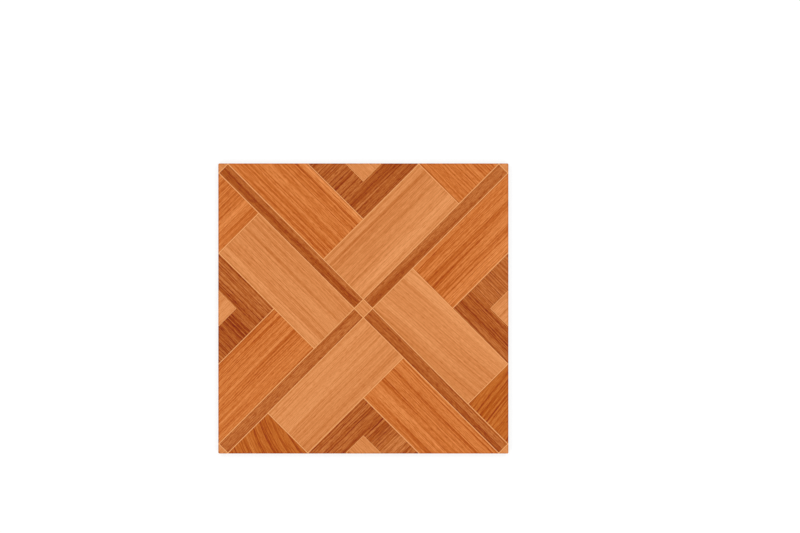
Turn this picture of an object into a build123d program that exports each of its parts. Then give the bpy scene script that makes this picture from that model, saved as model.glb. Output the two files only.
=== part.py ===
"""Pressed and glazed ceramic floor tile with a printed wood face, sold as 400 x 400 mm.

The tile is one fired piece: a square plate with a rounded arris round its face, an edge that is
straight below the face and then draws in towards the back, and a back pressed into a grid of
shallow cells that key it into the adhesive. The printed pattern has no thickness of its own.

The tile lies on its back. Z = 0 is the plane of the back's ribs, the origin is in the middle of
the back, +Z points out of the face, and X and Y run along the edges.
"""

import os

from build123d import *

# Outline of the tile, in millimetres
tile_side = 396.0  # work size of a tile that is laid on a 400 mm grid
tile_thickness = 8.0
corner_radius = 1.5  # in plan

# Edge section, from the face down to the back
arris_radius = 0.8  # round between the face and the edge
land_height = 3.5  # straight upper part of the edge, with the arris
heel_draft = 3.0  # degrees that the edge below the land draws in
heel_radius = 0.5  # round between the edge and the back

# Back relief: square cells with cut corners between raised ribs, inside a plain rim
rim_width = 14.5
rib_width = 5.0
cells_per_side = 12
cell_corner_cut = 2.5
cell_depth = 0.8
cell_draft = 30.0  # degrees that the cell's walls lean in

# The cells share out the back inside the rim, and the side of one is taken at its mouth
cell_pitch = (tile_side - 2 * rim_width + rib_width) / cells_per_side
cell_side = cell_pitch - rib_width

heel_height = tile_thickness - land_height

# One cell of the back, as the die presses it, narrower at its floor than at its mouth
with BuildPart() as cell:
    with BuildSketch(Plane.XY) as cell_mouth:
        Rectangle(cell_side, cell_side)
        chamfer(cell_mouth.vertices(), cell_corner_cut)
    extrude(cell_mouth.sketch, amount=cell_depth, taper=cell_draft)

with BuildPart() as floor_tile:
    # Upper part, with the straight edge
    with BuildSketch(Plane.XY.offset(heel_height)) as outline:
        RectangleRounded(tile_side, tile_side, corner_radius)
    extrude(outline.sketch, amount=land_height)

    # Heel, which draws in from the same outline down to the back
    extrude(outline.sketch, amount=-heel_height, taper=heel_draft)

    # Rounds along the face and along the back
    fillet(floor_tile.faces().sort_by(Axis.Z)[-1].edges(), arris_radius)
    fillet(floor_tile.faces().sort_by(Axis.Z)[0].edges(), heel_radius)

    # Back relief
    with GridLocations(cell_pitch, cell_pitch, cells_per_side, cells_per_side):
        add(cell.part, mode=Mode.SUBTRACT)

floor_tile.part.label = "floor_tile"

os.makedirs("parts", exist_ok=True)
export_step(floor_tile.part, "parts/floor_tile.step")

print("cell side", round(cell_side, 2), "mm")
print("volume", round(floor_tile.part.volume), "mm3")
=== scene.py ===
"""Looks of the wood-look floor tile: a printed parquet glaze on its face, bare fired clay elsewhere.

The tile lies face up and is seen straight from above. Lengths are in metres, in the frame of the
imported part: X and Y run along the tile's edges and Z points out of its face. The parquet is laid on
the tile's diagonals, so it has axes of its own: p runs to the lower right corner of the photograph's
tile and q to the upper right one.
"""

import math
from typing import NamedTuple

import bmesh
import bpy
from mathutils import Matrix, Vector


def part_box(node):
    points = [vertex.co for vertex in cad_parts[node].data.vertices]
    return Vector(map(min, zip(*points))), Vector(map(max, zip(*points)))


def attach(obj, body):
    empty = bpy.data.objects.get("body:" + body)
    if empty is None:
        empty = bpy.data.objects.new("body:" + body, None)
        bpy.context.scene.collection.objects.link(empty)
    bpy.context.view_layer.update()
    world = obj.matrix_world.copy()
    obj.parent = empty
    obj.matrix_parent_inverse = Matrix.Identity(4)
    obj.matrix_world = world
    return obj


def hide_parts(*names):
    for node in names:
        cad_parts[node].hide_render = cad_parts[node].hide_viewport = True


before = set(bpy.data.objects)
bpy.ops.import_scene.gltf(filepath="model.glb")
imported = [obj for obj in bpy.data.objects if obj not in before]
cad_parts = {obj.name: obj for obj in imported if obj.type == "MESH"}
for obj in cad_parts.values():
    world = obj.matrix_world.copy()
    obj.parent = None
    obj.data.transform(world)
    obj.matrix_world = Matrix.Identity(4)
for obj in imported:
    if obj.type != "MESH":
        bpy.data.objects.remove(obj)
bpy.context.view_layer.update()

MM = 0.001

# The tile, from the frame
TILE_NODE = "floor_tile"
tile_low, tile_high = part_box(TILE_NODE)
TILE_SIDE = tile_high.x - tile_low.x
FACE_Z = tile_high.z
HALF_DIAGONAL = TILE_SIDE / math.sqrt(2)
GLAZE_DEPTH = 2.0 * MM  # how far down the edge the glaze may run
CELL_LIMIT = TILE_SIDE / 2 - 10.0 * MM  # the pressed cells of the back all lie within this
CELL_EDGE = 0.3 * MM  # softness of their pressed edges

# The printed parquet
STRIP_WIDTH = 17.6 * MM  # dark strips along the diagonals
PLANK_WIDTH = 77.2 * MM
SMALL_SQUARE = 34.0 * MM  # pale square in the middle of each dark one
JOINT_WIDTH = 1.15 * MM  # pale printed line between the staves
REPEAT = HALF_DIAGONAL - 1.0 * MM  # the pattern falls a little short of the next tile's

# Places of the joints along p and q, outwards from the middle of the tile
STRIP_EDGE = STRIP_WIDTH / 2
PLANK_EDGE = STRIP_EDGE + PLANK_WIDTH
SQUARE_LOW = (REPEAT - SMALL_SQUARE) / 2
SQUARE_HIGH = (REPEAT + SMALL_SQUARE) / 2
FAR_PLANK_EDGE = REPEAT - PLANK_EDGE
FAR_STRIP_EDGE = REPEAT - STRIP_EDGE
JOINTS = (STRIP_EDGE, PLANK_EDGE, SQUARE_LOW, SQUARE_HIGH, FAR_PLANK_EDGE, FAR_STRIP_EDGE)

# The photograph's frame
PHOTO_WIDTH = 800
PHOTO_HEIGHT = 533
PHOTO_TILE_SIDE = 290.2  # pixels
PHOTO_TILE_MIDDLE = (363.35, 308.5)
LENS = 85.0
SENSOR = 36.0


def linear(red, green, blue):
    """A colour given as 0 to 255 sRGB, as the linear RGBA that shaders take."""
    channels = []
    for value in (red, green, blue):
        share = value / 255
        channels.append(share / 12.92 if share <= 0.04045 else ((share + 0.055) / 1.055) ** 2.4)
    return (*channels, 1.0)


# Staves

class Wood(NamedTuple):
    """How strongly a wood is figured, as depths of its print."""

    bands: float  # broad soft bands
    streaks: float  # crisp lines a millimetre or two wide
    fibres: float  # dashes of its pores


class Streak(NamedTuple):
    """A single streak along the grain, placed across a stave."""

    place: float  # millimetres from the stave's inner edge
    width: float  # millimetres
    depth: float  # depth of its print, dark above zero and pale below


class Stave(NamedTuple):
    """One printed piece of wood, drawn in the quarter between +p and +q and then turned."""

    low: tuple  # p and q of its nearest corner, before it is turned
    high: tuple  # p and q of its farthest corner
    along: int  # the grain runs along p (0) or q (1)
    turns: int  # quarter turns to its place
    wood: Wood
    tone: tuple  # linear colour
    streaks: tuple = ()
    slant: float = 0.0  # how much the grain leans across for each metre along
    bow: float = 0.0  # how much the grain arches, for each metre along squared
    shade: float = 0.0  # how much deeper than its tone it is printed

    def grain_place(self, p, q):
        """Where a point of the tile lies along and across this stave, from its middle."""
        for _ in range(self.turns):
            p, q = q, -p
        place = (p - (self.low[0] + self.high[0]) / 2, q - (self.low[1] + self.high[1]) / 2)
        return place[self.along], place[1 - self.along]

    def half_size(self):
        """Half the stave's length and half its width."""
        half = [(high - low) / 2 for low, high in zip(self.low, self.high)]
        return half[self.along], half[1 - self.along]

    def overshoot(self, p, q):
        """How far a point of the tile lies outside this stave, 0 if it lies on it."""
        along, across = self.grain_place(p, q)
        half_length, half_width = self.half_size()
        return max(abs(along) - half_length, abs(across) - half_width, 0.0)


LIGHT = Wood(bands=0.04, streaks=0.15, fibres=0.22)
ORANGE = Wood(bands=0.06, streaks=0.27, fibres=0.32)
DARK = Wood(bands=0.06, streaks=0.38, fibres=0.42)
STRIP = Wood(bands=0.05, streaks=0.21, fibres=0.46)
PRINT_STEP = (-0.32, -0.37, -0.37)  # of the displayed red, green and blue, for a depth of 1

# Quarter turns, named by the edge of the photographed tile that they lead to
RIGHT, TOP, LEFT, BOTTOM = range(4)


def light_plank(turns, tone, *streaks, **grain):
    """A long pale plank beside the middle of the tile."""
    low = (STRIP_EDGE, STRIP_EDGE)
    high = (FAR_PLANK_EDGE, PLANK_EDGE)
    return Stave(low, high, 0, turns, LIGHT, tone, streaks, **grain)


def orange_plank(turns, tone, *streaks, **grain):
    """A long plank beside the tile's corner, seen nearly whole."""
    low = (STRIP_EDGE, PLANK_EDGE)
    high = (PLANK_EDGE, FAR_STRIP_EDGE)
    return Stave(low, high, 1, turns, ORANGE, tone, streaks, **grain)


def cut_plank(turns, tone, *streaks, **grain):
    """The other plank beside the tile's corner, which the tile's edge cuts to a triangle."""
    low = (FAR_PLANK_EDGE, STRIP_EDGE)
    high = (FAR_STRIP_EDGE, FAR_PLANK_EDGE)
    return Stave(low, high, 1, turns, ORANGE, tone, streaks, **grain)


def dark_square(turns, tone, *streaks, **grain):
    """The dark square in the middle of the tile's edge, which cuts it in half."""
    low = (PLANK_EDGE, PLANK_EDGE)
    high = (FAR_PLANK_EDGE, FAR_PLANK_EDGE)
    return Stave(low, high, 0, turns, DARK, tone, streaks, **grain)


def small_square(turns, tone, *streaks, **grain):
    """The pale square in the middle of a dark one."""
    low = (SQUARE_LOW, SQUARE_LOW)
    high = (SQUARE_HIGH, SQUARE_HIGH)
    return Stave(low, high, 1, turns, LIGHT, tone, streaks, **grain)


def strip(turns, tone, *streaks, **grain):
    """A dark strip from the middle of the tile to its corner."""
    low = (STRIP_EDGE, -STRIP_EDGE)
    high = (FAR_STRIP_EDGE, STRIP_EDGE)
    return Stave(low, high, 0, turns, STRIP, tone, streaks, **grain)


def corner_square(turns, tone):
    """The pale square where four tiles meet, of which this tile has a quarter."""
    low = (FAR_STRIP_EDGE, -STRIP_EDGE)
    high = (FAR_STRIP_EDGE + STRIP_WIDTH, STRIP_EDGE)
    return Stave(low, high, 0, turns, LIGHT, tone)


def middle_square(tone, *streaks):
    """The pale square in the middle of the tile."""
    low = (-STRIP_EDGE, -STRIP_EDGE)
    high = (STRIP_EDGE, STRIP_EDGE)
    return Stave(low, high, 0, RIGHT, LIGHT, tone, streaks)


PALE_TONE = linear(221, 138, 76)
ORANGE_TONE = linear(208, 113, 44)
BROWN_TONE = linear(188, 93, 19)
DARK_TONE = linear(178, 88, 24)

# A small square comes before the dark one that it lies in
STAVES = [
    middle_square(PALE_TONE, Streak(13, 1, 0.18)),
    *[corner_square(turns, PALE_TONE) for turns in range(4)],
    small_square(RIGHT, PALE_TONE, shade=-0.07),
    small_square(TOP, PALE_TONE),
    small_square(LEFT, PALE_TONE, shade=-0.04),
    small_square(BOTTOM, PALE_TONE, shade=0.03),
    strip(RIGHT, DARK_TONE, Streak(1, 3, 0.14), Streak(14, 4, -0.06), shade=-0.03),
    strip(TOP, DARK_TONE, Streak(5, 2, 0.08), Streak(13, 2, -0.08), shade=-0.05),
    strip(LEFT, DARK_TONE, Streak(4, 2.5, -0.14), Streak(9.5, 2.5, 0.12), shade=0.06),
    strip(BOTTOM, DARK_TONE, Streak(6, 3, -0.05), Streak(17, 2, 0.1), shade=-0.06),
    light_plank(RIGHT, PALE_TONE, Streak(5, 8, 0.1), Streak(24, 4, -0.06), Streak(42, 3, 0.06),
                Streak(74, 14, -0.09), slant=-0.07),
    light_plank(TOP, PALE_TONE, Streak(13, 7, -0.1), Streak(34, 9, 0.05), Streak(58.5, 1.5, 0.08),
                Streak(63, 2, 0.1)),
    light_plank(LEFT, PALE_TONE, Streak(7, 2, 0.1), Streak(15, 2, 0.1), Streak(27, 2.5, 0.1),
                Streak(68, 4, -0.1)),
    light_plank(BOTTOM, PALE_TONE, Streak(7, 4, -0.08), Streak(30, 2, -0.06), Streak(37, 2, -0.06),
                Streak(65, 4, 0.11)),
    orange_plank(RIGHT, ORANGE_TONE, Streak(28, 2.5, 0.15), Streak(53, 2, 0.17), Streak(59, 1.5, 0.14),
                 Streak(70, 7, -0.14), shade=-0.04),
    orange_plank(TOP, ORANGE_TONE, Streak(43, 3, 0.12), Streak(56, 2.5, 0.14), Streak(66, 1.8, 0.25),
                 Streak(73, 4, -0.18)),
    orange_plank(LEFT, ORANGE_TONE, Streak(19, 3, -0.08), Streak(41, 2, -0.12), Streak(46, 2, 0.08),
                 Streak(76, 5, 0.24)),
    orange_plank(BOTTOM, ORANGE_TONE, Streak(22, 2, 0.1), Streak(41, 2.5, 0.14), Streak(47, 2, 0.16),
                 Streak(56, 5, -0.08)),
    cut_plank(RIGHT, BROWN_TONE, Streak(4, 3, 0.1), Streak(26, 7, -0.1), Streak(49, 2, 0.15),
              Streak(60, 1.5, 0.18), slant=0.12),
    cut_plank(TOP, ORANGE_TONE, Streak(18, 4, 0.1), Streak(47, 5, -0.08)),
    cut_plank(LEFT, ORANGE_TONE, Streak(8, 1.5, 0.1), Streak(21, 5, -0.11), Streak(32, 3, 0.08),
              Streak(64, 2, 0.2)),
    cut_plank(BOTTOM, BROWN_TONE, Streak(5, 4, -0.16), Streak(35, 6, 0.08), Streak(50, 2, 0.08),
              Streak(62, 2, -0.12), bow=2.5),
    dark_square(RIGHT, DARK_TONE, Streak(12, 2, 0.2), Streak(18, 2, 0.15), Streak(32, 2, 0.09),
                Streak(75, 30, -0.13)),
    dark_square(TOP, DARK_TONE, Streak(16, 1.2, -0.22), Streak(25, 5, 0.14), Streak(37, 2, -0.15),
                Streak(80, 28, -0.12), shade=0.1),
    dark_square(LEFT, DARK_TONE, Streak(12, 14, -0.07), Streak(55, 26, 0.08)),
    dark_square(BOTTOM, DARK_TONE, Streak(10, 3, -0.09), Streak(17, 2, 0.1), Streak(33, 4, 0.14),
                Streak(84, 22, -0.16), shade=0.03),
]
STREAKS_PER_STAVE = 4


def parquet_place(point):
    """p and q of a point of the tile."""
    return (point.x - point.y) / math.sqrt(2), (point.x + point.y) / math.sqrt(2)


def stave_number(point):
    """The number of the first stave that a point of the tile lies on, or of the nearest."""
    p, q = parquet_place(point)
    return min(range(len(STAVES)), key=lambda number: STAVES[number].overshoot(p, q))


# Mesh of the tile

PIECE_NAME = "printed_floor_tile"
WELD = 1e-6
GLAZE_SLOT, BODY_SLOT = 0, 1
STEEP = 0.3  # upward share of the normal, up to which a face belongs to the tile's edge
SHARP = math.radians(35)
SHEET_GAP = 0.012  # between the parts of the sheet, as a share of its side
SHEET_FACE = 0.78  # side of the tile's face on the sheet


def cut_faces(bm, faces, point, normal):
    """Cuts some faces along a plane, leaving both sides."""
    edges = {edge for face in faces for edge in face.edges}
    corners = {vert for face in faces for vert in face.verts}
    geometry = [*faces, *edges, *corners]
    bmesh.ops.bisect_plane(bm, geom=geometry, dist=WELD, plane_co=point, plane_no=normal)


def glazed_faces(bm):
    """The face of the tile and the upper part of its edge."""
    return [face for face in bm.faces if face.calc_center_median().z > FACE_Z - GLAZE_DEPTH]


def soften_cells(bm):
    """Rounds the edges of the cells pressed into the back."""
    edges = []
    for edge in bm.edges:
        inside = all(max(abs(vert.co.x), abs(vert.co.y)) < CELL_LIMIT for vert in edge.verts)
        low = all(vert.co.z < FACE_Z / 2 for vert in edge.verts)
        if inside and low and edge.calc_face_angle() > math.radians(10):
            edges.append(edge)
    bmesh.ops.bevel(bm, geom=edges, offset=CELL_EDGE, segments=2, profile=0.5, affect="EDGES")


def lay_out(bm):
    """Lays the face, the two halves of the back and the four edges out on one square sheet."""
    sheet = bm.loops.layers.uv.new("OFBake")
    column = SHEET_FACE + 2 * SHEET_GAP
    column_width = 1 - SHEET_GAP - column
    face_scale = SHEET_FACE / TILE_SIDE
    back_scale = column_width / (TILE_SIDE / 2)
    edge_scale = (column_width / 4 - SHEET_GAP) / FACE_Z
    for face in bm.faces:
        normal = face.normal
        middle = face.calc_center_median()
        for loop in face.loops:
            x, y, z = loop.vert.co
            if normal.z > STEEP:
                u = SHEET_GAP + (x + TILE_SIDE / 2) * face_scale
                v = SHEET_GAP + (y + TILE_SIDE / 2) * face_scale
            elif normal.z < -STEEP:
                right = middle.x > 0
                u = column + (x if right else x + TILE_SIDE / 2) * back_scale
                v = SHEET_GAP + (y + TILE_SIDE / 2) * back_scale
                v += right * (2 * column_width + SHEET_GAP)
            else:
                end = abs(normal.x) > abs(normal.y)
                number = 2 * end + ((middle.x if end else middle.y) > 0)
                u = SHEET_GAP + ((y if end else x) + TILE_SIDE / 2) * face_scale
                v = column + number * column_width / 4 + z * edge_scale
            loop[sheet].uv = (u, v)


def mark_staves(bm):
    """Gives each glazed face its stave's values, and its corners their places along the grain."""
    tone = bm.faces.layers.float_color.new("tone")
    half_size = bm.faces.layers.float_vector.new("half_size")
    figure = bm.faces.layers.float_vector.new("figure")
    turn = bm.faces.layers.float_vector.new("grain_turn")
    streaks = [bm.faces.layers.float_vector.new(f"streak_{k}") for k in range(STREAKS_PER_STAVE)]
    grain = bm.loops.layers.uv.new("Grain")
    for face in glazed_faces(bm):
        number = stave_number(face.calc_center_median())
        stave = STAVES[number]
        half_length, half_width = stave.half_size()
        face[tone] = stave.tone
        face[half_size] = (half_length, half_width, number)
        face[figure] = stave.wood
        face[turn] = (stave.slant, stave.bow, stave.shade)
        for layer, streak in zip(streaks, stave.streaks):
            place = streak.place * MM - half_width
            face[layer] = (place, streak.width * MM, streak.depth)
        for loop in face.loops:
            loop[grain].uv = stave.grain_place(*parquet_place(loop.vert.co))


def tile_mesh():
    """A copy of the solid's mesh, cut along the joints of the parquet, with its staves marked."""
    bm = bmesh.new()
    bm.from_mesh(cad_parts[TILE_NODE].data)
    bmesh.ops.remove_doubles(bm, verts=bm.verts, dist=WELD)
    soften_cells(bm)
    flat = [face for face in bm.faces if face.calc_center_median().z > FACE_Z - WELD]
    bmesh.ops.dissolve_faces(bm, faces=flat, use_verts=False)
    cut_faces(bm, bm.faces[:], (0, 0, FACE_Z - GLAZE_DEPTH), (0, 0, 1))
    for joint in JOINTS:
        for place in (-joint, joint):
            for side in (-1, 1):
                normal = Vector((1, side, 0)).normalized()
                cut_faces(bm, glazed_faces(bm), normal * place, normal)
    back = [face for face in bm.faces if face.normal.z < -STEEP]
    cut_faces(bm, back, (0, 0, 0), (1, 0, 0))
    glazed = set(glazed_faces(bm))
    for face in bm.faces:
        face.smooth = True
        face.material_index = GLAZE_SLOT if face in glazed else BODY_SLOT
    for edge in bm.edges:
        edge.smooth = edge.calc_face_angle() < SHARP
    mark_staves(bm)
    lay_out(bm)
    mesh = bpy.data.meshes.new(PIECE_NAME)
    bm.to_mesh(mesh)
    bm.free()
    return mesh


# Materials

class Shader:
    """A material's node tree, with short calls that add a node and give back what it puts out."""

    def __init__(self, name):
        self.material = bpy.data.materials.new(name)
        self.material.use_nodes = True
        self.tree = self.material.node_tree
        self.principled = self.tree.nodes["Principled BSDF"]

    def link(self, value, socket):
        """Feeds a socket from another node's output, or sets it to a plain value."""
        if isinstance(value, bpy.types.NodeSocket):
            self.tree.links.new(value, socket)
        else:
            socket.default_value = value

    def node(self, kind, *inputs, **settings):
        """Adds a node with these settings and first inputs."""
        node = self.tree.nodes.new(kind)
        for name, value in settings.items():
            setattr(node, name, value)
        for socket, value in zip(node.inputs, inputs):
            self.link(value, socket)
        return node

    def math(self, operation, *inputs):
        return self.node("ShaderNodeMath", *inputs, operation=operation).outputs[0]

    def add(self, *values):
        total = values[0]
        for value in values[1:]:
            total = self.math("ADD", total, value)
        return total

    def times(self, *values):
        total = values[0]
        for value in values[1:]:
            total = self.math("MULTIPLY", total, value)
        return total

    def vector(self, x, y, z):
        return self.node("ShaderNodeCombineXYZ", x, y, z).outputs[0]

    def parts(self, vector):
        return self.node("ShaderNodeSeparateXYZ", vector).outputs

    def attribute(self, name):
        return self.node("ShaderNodeAttribute", attribute_name=name)

    def noise(self, vector, detail=2.0, roughness=0.5):
        """Noise from about -1 to 1."""
        node = self.node("ShaderNodeTexNoise", vector)
        node.inputs["Scale"].default_value = 1.0
        node.inputs["Detail"].default_value = detail
        node.inputs["Roughness"].default_value = roughness
        return self.math("MULTIPLY_ADD", node.outputs["Fac"], 4.0, -2.0)

    def ramp(self, value, start, end):
        """A smooth step from 0 at start to 1 at end."""
        node = self.node("ShaderNodeMapRange", interpolation_type="SMOOTHSTEP")
        self.link(value, node.inputs["Value"])
        node.inputs["From Min"].default_value = start
        node.inputs["From Max"].default_value = end
        return node.outputs["Result"]

    def scaled(self, vector, x, y, z):
        return self.node("ShaderNodeVectorMath", vector, (x, y, z), operation="MULTIPLY").outputs[0]

    def mix(self, share, first, second):
        node = self.node("ShaderNodeMix", data_type="RGBA")
        self.link(share, node.inputs["Factor"])
        self.link(first, node.inputs["A"])
        self.link(second, node.inputs["B"])
        return next(output for output in node.outputs if output.type == "RGBA")


def clay(s):
    """Colour and relief of the fired clay: buff, faintly mottled, with dark specks and pale grog."""
    place = s.node("ShaderNodeTexCoord").outputs["Object"]
    mottle = s.noise(s.scaled(place, 40.0, 40.0, 40.0))
    grit = s.noise(s.scaled(place, 900.0, 900.0, 900.0))
    specks = s.ramp(s.noise(s.scaled(place, 520.0, 520.0, 520.0), 1.0), 0.75, 1.0)
    grog = s.ramp(s.noise(s.scaled(place, 330.0, 370.0, 350.0), 1.0), 0.6, 0.9)
    shift = s.add(s.times(mottle, 0.06), s.times(grit, 0.05), 1.0)
    colour = s.node("ShaderNodeGamma", linear(208, 180, 149), shift).outputs[0]
    colour = s.mix(s.times(grog, 0.5), colour, linear(224, 206, 182))
    colour = s.mix(s.times(specks, 0.6), colour, linear(132, 96, 70))
    return colour, s.add(grit, mottle)


def relief(s, height, depth):
    """Bump of a surface, from a height of about -1 to 1."""
    node = s.node("ShaderNodeBump")
    s.link(height, node.inputs["Height"])
    node.inputs["Strength"].default_value = 1.0
    node.inputs["Distance"].default_value = depth
    s.link(node.outputs["Normal"], s.principled.inputs["Normal"])


def printed(s, tone, depth):
    """A tone printed deeper, by steps of its displayed channels."""
    shown = s.node("ShaderNodeGamma", tone, 1 / 2.2).outputs[0]
    steps = s.vector(*[s.times(depth, step) for step in PRINT_STEP])
    moved = s.node("ShaderNodeVectorMath", shown, steps, operation="ADD")
    kept = s.node("ShaderNodeVectorMath", moved.outputs[0], (0, 0, 0), operation="MAXIMUM")
    return s.node("ShaderNodeGamma", kept.outputs[0], 2.2).outputs[0]


def printed_glaze():
    """The glaze with its print: staves of wood between pale joints, ending on the tile's edge."""
    s = Shader("printed_glaze")
    uv = s.node("ShaderNodeUVMap", uv_map="Grain").outputs[0]
    along, across, _ = s.parts(uv)
    half_length, half_width, number = s.parts(s.attribute("half_size").outputs["Vector"])
    bands, streaks, fibres = s.parts(s.attribute("figure").outputs["Vector"])
    slant, bow, shade = s.parts(s.attribute("grain_turn").outputs["Vector"])
    seed = s.times(number, 7.31)

    # Across the grain, with its lean, its arch, a slow waver and a quick one
    waver = s.times(s.noise(s.vector(s.times(along, 7.0), seed, 0.0), 1.0), 0.8 * MM)
    tremor = s.times(s.noise(s.vector(s.times(along, 45.0), s.times(across, 60.0), seed), 1.0), 0.25 * MM)
    bent = s.add(across, s.times(along, slant), s.times(along, along, bow), waver, tremor)

    def grain(along_scale, across_scale):
        return s.noise(s.vector(s.times(along, along_scale), s.times(bent, across_scale), seed), 1.0)

    # Figure of the wood: soft bands, crisp lines, hairs and the short dashes of its pores
    broad = grain(1.5, 35.0)
    medium = grain(3.5, 150.0)
    lines = s.add(s.ramp(grain(3.0, 480.0), 0.0, 0.55), -0.3)
    hairs = s.add(s.ramp(grain(7.0, 850.0), 0.0, 0.5), -0.3)
    pores = s.add(s.ramp(grain(130.0, 3000.0), -0.1, 0.5), -0.35)
    soft = s.times(s.add(broad, medium), bands)
    crisp = s.times(s.add(lines, s.times(hairs, 0.8)), streaks)
    mottle = s.noise(s.vector(s.times(along, 110.0), s.times(across, 240.0), seed), 3.0, 0.7)
    depth = s.add(shade, soft, crisp, s.times(pores, fibres), s.times(mottle, 0.04))

    # Single streaks
    fade = s.math("MULTIPLY_ADD", s.noise(s.vector(s.times(along, 14.0), seed, 3.0), 1.0), 0.4, 1.0)
    for k in range(STREAKS_PER_STAVE):
        place, width, own_depth = s.parts(s.attribute(f"streak_{k}").outputs["Vector"])
        offset = s.math("DIVIDE", s.math("SUBTRACT", bent, place), s.math("MAXIMUM", width, MM))
        bell = s.math("EXPONENT", s.times(offset, offset, -1.0))
        depth = s.add(depth, s.times(bell, own_depth, fade))

    # Joints, with the wood a little darker beside them and along the tile's edge
    end_gap = s.math("SUBTRACT", half_length, s.math("ABSOLUTE", along))
    side_gap = s.math("SUBTRACT", half_width, s.math("ABSOLUTE", across))
    gap = s.math("MINIMUM", end_gap, side_gap)
    wood = s.ramp(gap, 0.35 * JOINT_WIDTH, 0.65 * JOINT_WIDTH)
    x, y, z = s.parts(s.node("ShaderNodeTexCoord").outputs["Object"])
    reach = s.math("MAXIMUM", s.math("ABSOLUTE", x), s.math("ABSOLUTE", y))
    rim = s.ramp(reach, TILE_SIDE / 2 - 2.0 * MM, TILE_SIDE / 2 - 0.8 * MM)
    depth = s.add(depth, s.times(s.ramp(gap, 2.0 * MM, 0.6 * MM), 0.12), s.times(rim, 0.14))

    timber = printed(s, s.attribute("tone").outputs["Color"], depth)
    print_colour = s.mix(wood, linear(245, 174, 110), timber)

    # Down the edge the print gives way to pale engobe, and that to bare clay
    wave = s.times(s.noise(s.scaled(s.vector(x, y, z), 90.0, 90.0, 90.0)), 0.15 * MM)
    drop = s.add(s.math("SUBTRACT", FACE_Z, z), wave)
    bare_colour, _ = clay(s)
    engobe = s.mix(s.ramp(drop, 0.75 * MM, 1.0 * MM), print_colour, linear(226, 211, 190))
    bare = s.ramp(drop, 1.3 * MM, 1.6 * MM)
    colour = s.mix(bare, engobe, bare_colour)
    s.link(colour, s.principled.inputs["Base Color"])
    satin = s.add(s.times(pores, 0.08), s.times(medium, 0.02), 0.32)
    s.link(s.add(satin, s.times(bare, 0.55)), s.principled.inputs["Roughness"])
    s.principled.inputs["Specular IOR Level"].default_value = 0.35
    relief(s, s.times(s.add(pores, hairs), -1.0), 0.008 * MM)
    return s.material


def fired_body():
    """Bare fired clay of the edges and the back, whose ribs keep a trace of white kiln wash."""
    s = Shader("fired_body")
    colour, height = clay(s)
    place = s.node("ShaderNodeTexCoord").outputs["Object"]
    z = s.parts(place)[2]
    ribs = s.ramp(z, 0.25 * MM, 0.05 * MM)
    patches = s.ramp(s.noise(s.scaled(place, 60.0, 90.0, 60.0), 4.0, 0.7), -0.7, 0.9)
    colour = s.mix(s.times(ribs, patches, 0.5), colour, linear(232, 225, 213))
    s.link(colour, s.principled.inputs["Base Color"])
    s.principled.inputs["Roughness"].default_value = 0.88
    s.principled.inputs["Specular IOR Level"].default_value = 0.3
    relief(s, height, 0.05 * MM)
    return s.material


def printed_tile():
    """The piece that stands for the solid tile."""
    piece = bpy.data.objects.new(PIECE_NAME, tile_mesh())
    bpy.context.scene.collection.objects.link(piece)
    piece.data.materials.append(printed_glaze())
    piece.data.materials.append(fired_body())
    piece.modifiers.new("weighted_normals", "WEIGHTED_NORMAL").keep_sharp = True
    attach(piece, "root")
    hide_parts(TILE_NODE)


# Stage

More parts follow.
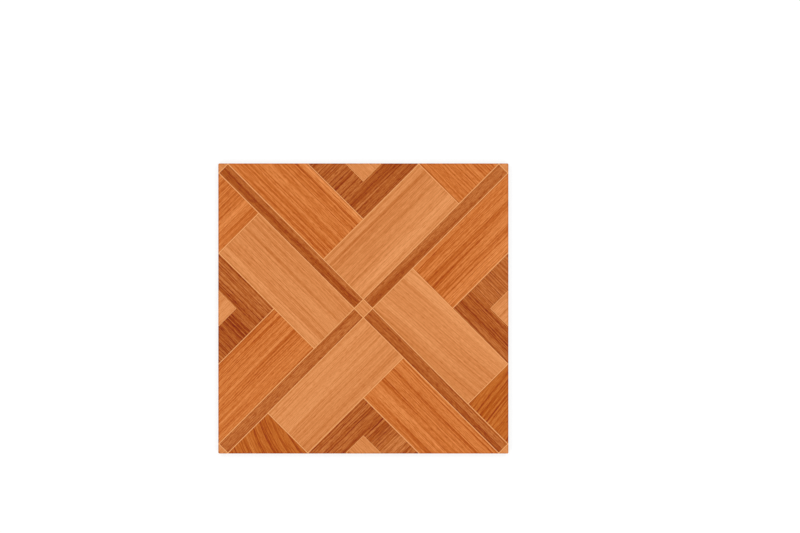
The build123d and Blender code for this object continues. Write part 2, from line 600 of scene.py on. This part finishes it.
def white_paper(name, glow):
    """Paper that shows white wherever it is seen or mirrored, and still takes a shadow."""
    s = Shader(name)
    s.principled.inputs["Base Color"].default_value = (0.3, 0.3, 0.3, 1)
    s.principled.inputs["Roughness"].default_value = 1.0
    s.principled.inputs["Specular IOR Level"].default_value = 0.0
    s.principled.inputs["Emission Color"].default_value = (1, 1, 1, 1)
    rays = s.node("ShaderNodeLightPath").outputs
    seen = s.add(rays["Is Camera Ray"], rays["Is Glossy Ray"], rays["Is Transmission Ray"])
    s.link(s.times(s.math("MINIMUM", seen, 1.0), glow), s.principled.inputs["Emission Strength"])
    return s.material


def backdrop():
    """A white floor and a white wall round it, open above."""
    bpy.ops.mesh.primitive_plane_add(size=12.0, location=(0, 0, tile_low.z))
    floor = bpy.context.object
    floor.name = "floor"
    floor.data.materials.append(white_paper("floor_paper", 0.76))
    bpy.ops.mesh.primitive_cylinder_add(vertices=96, radius=5.8, depth=5.0, end_fill_type="NOTHING",
                                        location=(0, 0, tile_low.z + 2.5))
    wall = bpy.context.object
    wall.name = "wall"
    wall.data.materials.append(white_paper("wall_paper", 1.0))


def lamp(name, location, size, power):
    """A square soft box that faces the tile."""
    light = bpy.data.lights.new(name, "AREA")
    light.size = size
    light.energy = power
    box = bpy.data.objects.new(name, light)
    box.location = location
    box.rotation_euler = (-Vector(location)).to_track_quat("-Z", "Y").to_euler()
    bpy.context.scene.collection.objects.link(box)


def lights():
    """Four soft boxes round the tile, low enough to keep their shine off the camera, and a dim sky."""
    for k in range(4):
        angle = math.radians(45 + 90 * k)
        lamp(f"soft_box_{k}", (2.2 * math.cos(angle), 2.2 * math.sin(angle), 2.0), 1.6, 30.5)
    world = bpy.data.worlds.new("studio")
    world.use_nodes = True
    bpy.context.scene.world = world
    background = world.node_tree.nodes["Background"]
    background.inputs["Color"].default_value = (1, 1, 1, 1)
    background.inputs["Strength"].default_value = 0.12


def camera():
    """A camera straight above, with the tile where the photograph has it."""
    pixel = TILE_SIDE / PHOTO_TILE_SIDE
    data = bpy.data.cameras.new("camera")
    data.lens = LENS
    data.sensor_width = SENSOR
    eye = bpy.data.objects.new("camera", data)
    height = PHOTO_WIDTH * pixel * LENS / SENSOR
    right = (PHOTO_WIDTH / 2 - PHOTO_TILE_MIDDLE[0]) * pixel
    up = (PHOTO_TILE_MIDDLE[1] - PHOTO_HEIGHT / 2) * pixel
    eye.location = (right, up, FACE_Z + height)
    bpy.context.scene.collection.objects.link(eye)
    bpy.context.scene.camera = eye


printed_tile()
backdrop()
lights()
camera()
bpy.context.scene.view_settings.view_transform = "Standard"
